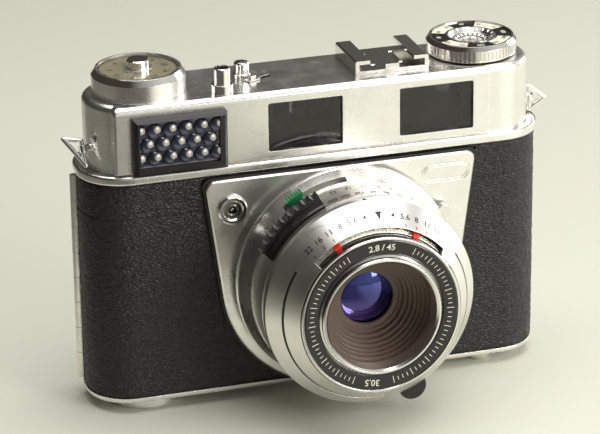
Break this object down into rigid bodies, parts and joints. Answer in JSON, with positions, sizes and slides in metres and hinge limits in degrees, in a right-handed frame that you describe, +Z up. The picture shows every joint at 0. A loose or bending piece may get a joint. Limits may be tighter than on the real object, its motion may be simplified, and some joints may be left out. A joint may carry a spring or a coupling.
{
  "type": "rangefinder camera",
  "caption": "Fixed-lens 35 mm rangefinder camera with leaf shutter, selenium meter, rewind knob, accessory shoe and hinged back.",
  "frame": {"origin": "mouth of the tripod socket, in the plane of the underside of the bottom plate", "axes": "+X along the body to the right as the lens faces the viewer, +Y towards the back door, +Z up to the deck"},
  "size_m": [0.1392, 0.0653, 0.0973],
  "materials": {
    "black_enamel": "gloss black",
    "black_plastic": "matt",
    "brass": "turned",
    "bright_chrome": "polished",
    "brown_black_anodised": "anodised, stepped",
    "chassis_black": "die-cast, matt black",
    "clear_glass": "polished",
    "coated_glass": "blue-violet coated",
    "dial_cream": "satin cream",
    "green_lacquer": "gloss",
    "leatherette": "dark brown-black grained leatherette",
    "mirror_silver": "silvered",
    "red_lacquer": "gloss",
    "satin_aluminium": "fine satin",
    "satin_chrome": "satin",
    "selenium": "dark grey photocell",
    "steel": "brushed"
  },
  "bodies": {
    "camera_body": {"chassis": "chassis_black", "leather_front": "leatherette", "front_plate": "satin_aluminium", "front_plate_gasket": "black_plastic", "door_hinge": "bright_chrome", "bottom_plate": "satin_chrome", "bottom_plate_screws": "steel", "tripod_socket": "steel", "right_foot": "bright_chrome", "top_housing": "satin_chrome", "counter_drum": "satin_chrome", "counter_glass": "clear_glass", "accessory_shoe": "bright_chrome", "deck_collars": "bright_chrome", "cable_release_socket": "bright_chrome", "finder_glass": "clear_glass", "finder_blocks": "chassis_black", "meter_frame": "black_plastic", "meter_window": "clear_glass", "selenium_cell": "selenium", "meter_movement": "brass", "strap_lugs": "bright_chrome", "sync_socket": "bright_chrome", "lens_base": "satin_aluminium", "shutter_case": "chassis_black", "iris_blades": "black_enamel", "shutter_blades": "steel", "front_cover": "satin_aluminium", "inner_lenses": "coated_glass"},
    "back_door": {"back_door": "chassis_black", "leather_back": "leatherette", "pressure_plate": "black_enamel"},
    "latch_bolt": {"latch_bolt": "steel"},
    "back_release_button": {"back_release_button": "bright_chrome"},
    "wind_lever": {"wind_lever": "satin_chrome"},
    "take_up_spool": {"take_up_spool": "black_plastic"},
    "sprocket_shaft": {"sprocket_shaft": "steel"},
    "rewind_release_button": {"rewind_release_button": "bright_chrome"},
    "counter_dial": {"counter_dial": "dial_cream"},
    "counter_slide": {"counter_slide": "bright_chrome"},
    "drum_button": {"drum_button": "bright_chrome"},
    "rewind_knob": {"rewind_knob": "bright_chrome"},
    "film_reminder_dial": {"film_reminder_dial": "black_enamel"},
    "release_button": {"release_button": "bright_chrome"},
    "rangefinder_mirror": {"rangefinder_mirror": "mirror_silver"},
    "meter_needle": {"meter_needle": "brass"},
    "strap_ring_right": {"strap_ring_right": "bright_chrome"},
    "strap_ring_left": {"strap_ring_left": "bright_chrome"},
    "sync_lever": {"sync_lever": "green_lacquer"},
    "aperture_ring": {"aperture_ring": "satin_aluminium"},
    "dof_pointer_left": {"dof_pointer_left": "red_lacquer"},
    "dof_pointer_right": {"dof_pointer_right": "red_lacquer"},
    "speed_ring": {"speed_ring": "satin_aluminium", "speed_ring_grips": "black_plastic"},
    "focus_ring": {"distance_scale_ring": "satin_aluminium"},
    "lens_front": {"focus_barrel": "bright_chrome", "name_ring": "black_enamel", "filter_bezel": "bright_chrome", "lens_throat": "brown_black_anodised", "front_lens": "coated_glass"}
  },
  "joints": [
    {"name": "back_door_hinge", "type": "hinge", "parent": "camera_body", "child": "back_door", "pos_m": [-0.06475, 0.0049, 0.032], "axis": [0, 0, 1], "range_deg": [0, 110]},
    {"name": "back_release_press", "type": "slide", "parent": "camera_body", "child": "back_release_button", "axis": [0, 0, 1], "range_m": [0, 0.001]},
    {"name": "latch_bolt_slide", "type": "slide", "parent": "camera_body", "child": "latch_bolt", "axis": [1, 0, 0], "range_m": [-0.0012, 0]},
    {"name": "wind_lever_turn", "type": "hinge", "parent": "camera_body", "child": "wind_lever", "pos_m": [-0.0485, -0.00125, 0], "axis": [0, 0, 1], "range_deg": [0, 180]},
    {"name": "take_up_spool_turn", "type": "hinge", "parent": "camera_body", "child": "take_up_spool", "pos_m": [-0.0485, -0.00125, 0.03], "axis": [0, 0, 1], "range_deg": [0, 180]},
    {"name": "sprocket_turn", "type": "hinge", "parent": "camera_body", "child": "sprocket_shaft", "pos_m": [-0.0268, 0.0015, 0.03], "axis": [0, 0, 1], "range_deg": [-360, 0]},
    {"name": "rewind_release_press", "type": "slide", "parent": "camera_body", "child": "rewind_release_button", "axis": [0, 0, 1], "range_m": [0, 0.0008]},
    {"name": "counter_dial_turn", "type": "hinge", "parent": "camera_body", "child": "counter_dial", "pos_m": [-0.047, 0.0008, 0.0909], "axis": [0, 0, 1], "range_deg": [-9, 0]},
    {"name": "counter_slide_move", "type": "slide", "parent": "camera_body", "child": "counter_slide", "axis": [0.8944, 0.4472, 0], "range_m": [0, 0.0045]},
    {"name": "drum_button_press", "type": "slide", "parent": "camera_body", "child": "drum_button", "axis": [0, 0, -1], "range_m": [0, 0.001]},
    {"name": "rewind_turn", "type": "hinge", "parent": "camera_body", "child": "rewind_knob", "pos_m": [0.0478, 0.001, 0.085], "axis": [0, 0, 1], "continuous": true},
    {"name": "film_reminder_turn", "type": "hinge", "parent": "rewind_knob", "child": "film_reminder_dial", "pos_m": [0.0478, 0.001, 0.0902], "axis": [0, 0, 1], "continuous": true},
    {"name": "release_press", "type": "slide", "parent": "camera_body", "child": "release_button", "axis": [0, 0, -1], "range_m": [0, 0.0018]},
    {"name": "focus_turn", "type": "hinge", "parent": "camera_body", "child": "focus_ring", "pos_m": [0.00465, -0.04, 0.0331], "axis": [0, -1, 0], "range_deg": [0, 150]},
    {"name": "focus_travel", "type": "slide", "parent": "focus_ring", "child": "lens_front", "axis": [0, -1, 0], "range_m": [0, 0.0026]},
    {"name": "mirror_turn", "type": "hinge", "parent": "camera_body", "child": "rangefinder_mirror", "pos_m": [-0.00475, 0.0015, 0.0758], "axis": [0, 0, 1], "range_deg": [0, 3.5]},
    {"name": "speed_turn", "type": "hinge", "parent": "camera_body", "child": "speed_ring", "pos_m": [0.00465, -0.033, 0.0331], "axis": [0, -1, 0], "range_deg": [-60, 60]},
    {"name": "aperture_turn", "type": "hinge", "parent": "camera_body", "child": "aperture_ring", "pos_m": [0.00465, -0.0315, 0.0331], "axis": [0, -1, 0], "range_deg": [-25, 35]},
    {"name": "dof_left_turn", "type": "hinge", "parent": "camera_body", "child": "dof_pointer_left", "pos_m": [0.00465, -0.0405, 0.0331], "axis": [0, -1, 0], "range_deg": [-15, 21]},
    {"name": "dof_right_turn", "type": "hinge", "parent": "camera_body", "child": "dof_pointer_right", "pos_m": [0.00465, -0.0398, 0.0331], "axis": [0, -1, 0], "range_deg": [-21, 15]},
    {"name": "sync_turn", "type": "hinge", "parent": "camera_body", "child": "sync_lever", "pos_m": [0.00465, -0.0239, 0.0331], "axis": [0, -1, 0], "range_deg": [-24, 3]},
    {"name": "meter_needle_turn", "type": "hinge", "parent": "camera_body", "child": "meter_needle", "pos_m": [-0.038, -0.0015, 0.08], "axis": [0, 0, 1], "range_deg": [-20, 20]},
    {"name": "strap_right_swing", "type": "hinge", "parent": "camera_body", "child": "strap_ring_right", "pos_m": [0.0642, -0.001, 0.07095], "axis": [0.029, 0, -0.9996], "range_deg": [-45, 45]},
    {"name": "strap_left_swing", "type": "hinge", "parent": "camera_body", "child": "strap_ring_left", "pos_m": [-0.0642, -0.0055, 0.07175], "axis": [0.0292, -0.5545, -0.8317], "range_deg": [-30, 30]}
  ],
  "couplings": [
    {"joint": "take_up_spool_turn", "follows": "wind_lever_turn", "ratio": 1},
    {"joint": "sprocket_turn", "follows": "wind_lever_turn", "ratio": -2},
    {"joint": "counter_dial_turn", "follows": "wind_lever_turn", "ratio": -0.05},
    {"joint": "focus_travel", "follows": "focus_turn", "m_per_rad": 0.000955},
    {"joint": "mirror_turn", "follows": "focus_turn", "ratio": 0.02},
    {"joint": "dof_left_turn", "follows": "aperture_turn", "ratio": 0.6},
    {"joint": "dof_right_turn", "follows": "aperture_turn", "ratio": -0.6},
    {"joint": "latch_bolt_slide", "follows": "back_release_press", "ratio": -1}
  ]
}
